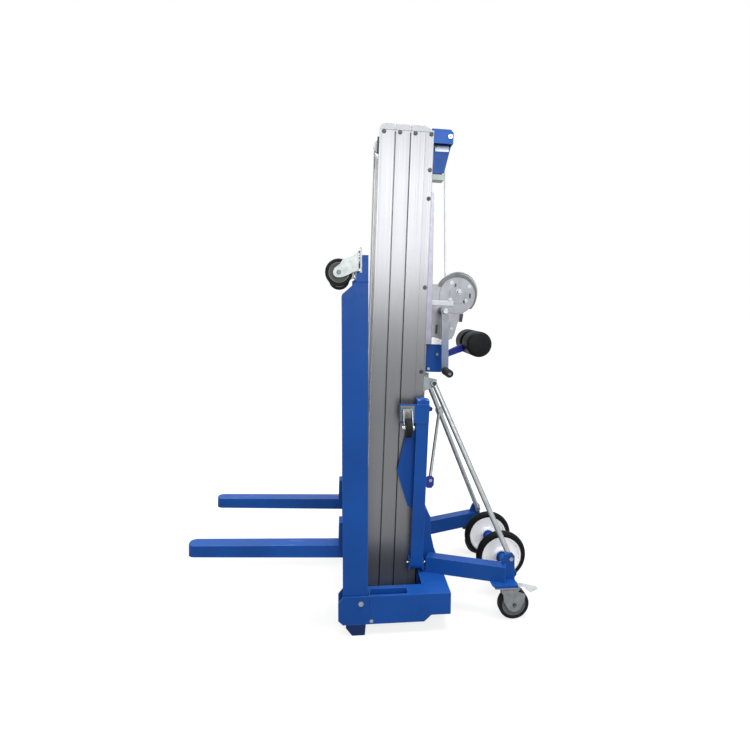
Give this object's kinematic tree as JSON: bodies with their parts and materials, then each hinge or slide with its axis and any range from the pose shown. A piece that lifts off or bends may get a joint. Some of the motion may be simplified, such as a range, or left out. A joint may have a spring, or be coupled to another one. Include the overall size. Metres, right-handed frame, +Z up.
{
  "type": "aluminium stacker",
  "caption": "Hand-cranked aluminium stacker: a three-stage telescoping mast on a blue base with forks, folded front legs, side stabilisers, rope winch and rear transport wheels.",
  "frame": {"origin": "on the floor, under the middle of the bounding box", "axes": "+X to the rear (operator's side), +Y to the far side seen in the picture, +Z up; forks reach towards -X"},
  "size_m": [1.3928, 0.76, 1.9823],
  "materials": {
    "blue_paint": "semi-gloss enamel",
    "navy_paint": "satin enamel",
    "grey_paint": "semi-gloss enamel",
    "mast_aluminium": "clear-anodised extrusion",
    "cap_aluminium": "cast, fine satin",
    "zinc_steel": "bright zinc plate",
    "dark_steel": "black oxide",
    "wire_rope": "galvanised strands",
    "glide_plastic": "bearing plastic",
    "black_grip": "matt rubber",
    "black_rubber": "matt rubber",
    "tyre_black": "matt tread rubber"
  },
  "bodies": {
    "frame": {"base_frame": "blue_paint", "floor_feet": "navy_paint", "mast_outer": "mast_aluminium", "mast_outer_cap": "cap_aluminium", "frame_fasteners": "zinc_steel", "outriggers": "blue_paint", "braces": "zinc_steel", "mast_lugs": "blue_paint", "head_bracket": "blue_paint", "head_guide": "zinc_steel", "winch_frame": "grey_paint", "handle_bracket": "blue_paint", "roller_arm": "blue_paint", "transport_axle": "blue_paint", "cable_rear": "wire_rope", "cable_outer": "wire_rope"},
    "mid_mast": {"mast_mid": "mast_aluminium", "mast_mid_cap": "cap_aluminium", "mid_rigging": "wire_rope", "mid_glides": "glide_plastic", "cable_mid": "wire_rope"},
    "inner_mast": {"mast_inner": "mast_aluminium", "mast_inner_cap": "cap_aluminium", "inner_rigging": "wire_rope", "inner_pads": "glide_plastic", "cable_inner": "wire_rope"},
    "carriage": {"carriage_frame": "blue_paint", "carriage_glides": "glide_plastic", "fork_near": "blue_paint", "fork_far": "blue_paint"},
    "drum": {"winch_drum": "dark_steel", "drum_rope": "wire_rope"},
    "crank": {"winch_crank": "grey_paint"},
    "grip": {"crank_grip": "black_grip"},
    "head_sheave": {"head_sheave": "dark_steel"},
    "mid_lower": {"mid_lower_sheave": "dark_steel"},
    "mid_upper": {"mid_upper_sheave": "dark_steel"},
    "inner_lower": {"inner_lower_sheave": "dark_steel"},
    "inner_upper": {"inner_upper_sheave": "dark_steel"},
    "roller": {"loading_roller": "black_rubber"},
    "front_leg_near": {"front_leg_near": "blue_paint"},
    "front_fork_near": {"front_fork_near": "zinc_steel"},
    "front_wheel_near": {"front_wheel_near": "tyre_black"},
    "stabiliser_near": {"stabiliser_near": "blue_paint"},
    "stabiliser_fork_near": {"stabiliser_fork_near": "zinc_steel"},
    "stabiliser_wheel_near": {"stabiliser_wheel_near": "tyre_black"},
    "transport_wheel_near": {"transport_wheel_near": "tyre_black"},
    "rear_fork_near": {"rear_fork_near": "zinc_steel"},
    "rear_wheel_near": {"rear_wheel_near": "tyre_black"},
    "brake_pedal_near": {"brake_pedal_near": "zinc_steel"},
    "front_leg_far": {"front_leg_far": "blue_paint"},
    "front_fork_far": {"front_fork_far": "zinc_steel"},
    "front_wheel_far": {"front_wheel_far": "tyre_black"},
    "stabiliser_far": {"stabiliser_far": "blue_paint"},
    "stabiliser_fork_far": {"stabiliser_fork_far": "zinc_steel"},
    "stabiliser_wheel_far": {"stabiliser_wheel_far": "tyre_black"},
    "transport_wheel_far": {"transport_wheel_far": "tyre_black"},
    "rear_fork_far": {"rear_fork_far": "zinc_steel"},
    "rear_wheel_far": {"rear_wheel_far": "tyre_black"},
    "brake_pedal_far": {"brake_pedal_far": "zinc_steel"}
  },
  "joints": [
    {"name": "mid_slide", "type": "slide", "parent": "frame", "child": "mid_mast", "axis": [0.0314, 0, 0.9995], "range_m": [0, 1.62], "deforming": ["cable_outer"]},
    {"name": "inner_slide", "type": "slide", "parent": "mid_mast", "child": "inner_mast", "axis": [0.0314, 0, 0.9995], "range_m": [0, 1.62], "deforming": ["cable_mid"]},
    {"name": "carriage_slide", "type": "slide", "parent": "inner_mast", "child": "carriage", "axis": [0.0314, 0, 0.9995], "range_m": [0, 1.62], "deforming": ["cable_inner"]},
    {"name": "drum_spin", "type": "hinge", "parent": "frame", "child": "drum", "pos_m": [0.39022, 0, 1.32491], "axis": [0, 1, 0], "range_deg": [-6100, 0]},
    {"name": "crank_spin", "type": "hinge", "parent": "frame", "child": "crank", "pos_m": [0.31563, 0, 1.24407], "axis": [0, 1, 0], "range_deg": [0, 18100]},
    {"name": "head_sheave_spin", "type": "hinge", "parent": "frame", "child": "head_sheave", "pos_m": [0.28607, 0, 1.92662], "axis": [0, 1, 0], "range_deg": [0, 6400]},
    {"name": "mid_lower_spin", "type": "hinge", "parent": "mid_mast", "child": "mid_lower", "pos_m": [0.15816, 0, 0.08473], "axis": [0, 1, 0], "range_deg": [-7200, 0]},
    {"name": "mid_upper_spin", "type": "hinge", "parent": "mid_mast", "child": "mid_upper", "pos_m": [0.16382, 0, 1.92046], "axis": [0, 1, 0], "range_deg": [0, 7200]},
    {"name": "inner_lower_spin", "type": "hinge", "parent": "inner_mast", "child": "inner_lower", "pos_m": [0.05421, 0, 0.088], "axis": [0, 1, 0], "range_deg": [-3650, 0]},
    {"name": "inner_upper_spin", "type": "hinge", "parent": "inner_mast", "child": "inner_upper", "pos_m": [0.05987, 0, 1.92372], "axis": [0, 1, 0], "range_deg": [0, 3650]},
    {"name": "grip_spin", "type": "hinge", "parent": "crank", "child": "grip", "pos_m": [0.31777, -0.2, 0.99908], "axis": [0, 1, 0], "continuous": true},
    {"name": "roller_spin", "type": "hinge", "parent": "frame", "child": "roller", "pos_m": [0.47034, 0, 1.10428], "axis": [0, 1, 0], "continuous": true},
    {"name": "leg_hinge_near", "type": "hinge", "parent": "frame", "child": "front_leg_near", "pos_m": [-0.03559, -0.335, 0.13], "axis": [0, -1, 0], "range_deg": [0, 90]},
    {"name": "front_swivel_near", "type": "hinge", "parent": "front_leg_near", "child": "front_fork_near", "pos_m": [-0.03859, -0.335, 1.429], "axis": [1, 0, 0], "continuous": true},
    {"name": "front_roll_near", "type": "hinge", "parent": "front_fork_near", "child": "front_wheel_near", "pos_m": [-0.11559, -0.335, 1.386], "axis": [0, 1, 0], "continuous": true},
    {"name": "stabiliser_hinge_near", "type": "hinge", "parent": "frame", "child": "stabiliser_near", "pos_m": [0.20156, -0.179, 0.19227], "axis": [0.9995, 0, -0.0314], "range_deg": [0, 92]},
    {"name": "stabiliser_swivel_near", "type": "hinge", "parent": "stabiliser_near", "child": "stabiliser_fork_near", "pos_m": [0.15666, -0.2105, 0.833], "axis": [0, 1, 0], "continuous": true},
    {"name": "stabiliser_roll_near", "type": "hinge", "parent": "stabiliser_fork_near", "child": "stabiliser_wheel_near", "pos_m": [0.15666, -0.259, 0.784], "axis": [1, 0, 0], "continuous": true},
    {"name": "transport_roll_near", "type": "hinge", "parent": "frame", "child": "transport_wheel_near", "pos_m": [0.58641, -0.113, 0.178], "axis": [0, 1, 0], "continuous": true},
    {"name": "rear_swivel_near", "type": "hinge", "parent": "frame", "child": "rear_fork_near", "pos_m": [0.54841, -0.3, 0.139], "axis": [0, 0, 1], "continuous": true},
    {"name": "rear_roll_near", "type": "hinge", "parent": "rear_fork_near", "child": "rear_wheel_near", "pos_m": [0.58641, -0.3, 0.0625], "axis": [0, 1, 0], "continuous": true},
    {"name": "brake_pedal_hinge_near", "type": "hinge", "parent": "rear_fork_near", "child": "brake_pedal_near", "pos_m": [0.60441, -0.3, 0.1338], "axis": [0, 1, 0], "range_deg": [0, 12]},
    {"name": "leg_hinge_far", "type": "hinge", "parent": "frame", "child": "front_leg_far", "pos_m": [-0.03559, 0.335, 0.13], "axis": [0, -1, 0], "range_deg": [0, 90]},
    {"name": "front_swivel_far", "type": "hinge", "parent": "front_leg_far", "child": "front_fork_far", "pos_m": [-0.03859, 0.335, 1.429], "axis": [1, 0, 0], "continuous": true},
    {"name": "front_roll_far", "type": "hinge", "parent": "front_fork_far", "child": "front_wheel_far", "pos_m": [-0.11559, 0.335, 1.386], "axis": [0, 1, 0], "continuous": true},
    {"name": "stabiliser_hinge_far", "type": "hinge", "parent": "frame", "child": "stabiliser_far", "pos_m": [0.20156, 0.179, 0.19227], "axis": [-0.9995, 0, 0.0314], "range_deg": [0, 92]},
    {"name": "stabiliser_swivel_far", "type": "hinge", "parent": "stabiliser_far", "child": "stabiliser_fork_far", "pos_m": [0.15666, 0.2105, 0.833], "axis": [0, 1, 0], "continuous": true},
    {"name": "stabiliser_roll_far", "type": "hinge", "parent": "stabiliser_fork_far", "child": "stabiliser_wheel_far", "pos_m": [0.15666, 0.259, 0.784], "axis": [1, 0, 0], "continuous": true},
    {"name": "transport_roll_far", "type": "hinge", "parent": "frame", "child": "transport_wheel_far", "pos_m": [0.58641, 0.113, 0.178], "axis": [0, 1, 0], "continuous": true},
    {"name": "rear_swivel_far", "type": "hinge", "parent": "frame", "child": "rear_fork_far", "pos_m": [0.54841, 0.3, 0.139], "axis": [0, 0, 1], "continuous": true},
    {"name": "rear_roll_far", "type": "hinge", "parent": "rear_fork_far", "child": "rear_wheel_far", "pos_m": [0.58641, 0.3, 0.0625], "axis": [0, 1, 0], "continuous": true},
    {"name": "brake_pedal_hinge_far", "type": "hinge", "parent": "rear_fork_far", "child": "brake_pedal_far", "pos_m": [0.60441, 0.3, 0.1338], "axis": [0, 1, 0], "range_deg": [0, 12]}
  ],
  "couplings": [
    {"joint": "inner_slide", "follows": "mid_slide", "ratio": 1},
    {"joint": "carriage_slide", "follows": "mid_slide", "ratio": 1},
    {"joint": "drum_spin", "follows": "mid_slide", "rad_per_m": -64.795},
    {"joint": "crank_spin", "follows": "mid_slide", "rad_per_m": 194.38},
    {"joint": "head_sheave_spin", "follows": "mid_slide", "rad_per_m": 68.182},
    {"joint": "mid_lower_spin", "follows": "mid_slide", "rad_per_m": -76.923},
    {"joint": "mid_upper_spin", "follows": "mid_slide", "rad_per_m": 76.923},
    {"joint": "inner_lower_spin", "follows": "mid_slide", "rad_per_m": -38.462},
    {"joint": "inner_upper_spin", "follows": "mid_slide", "rad_per_m": 38.462}
  ]
}
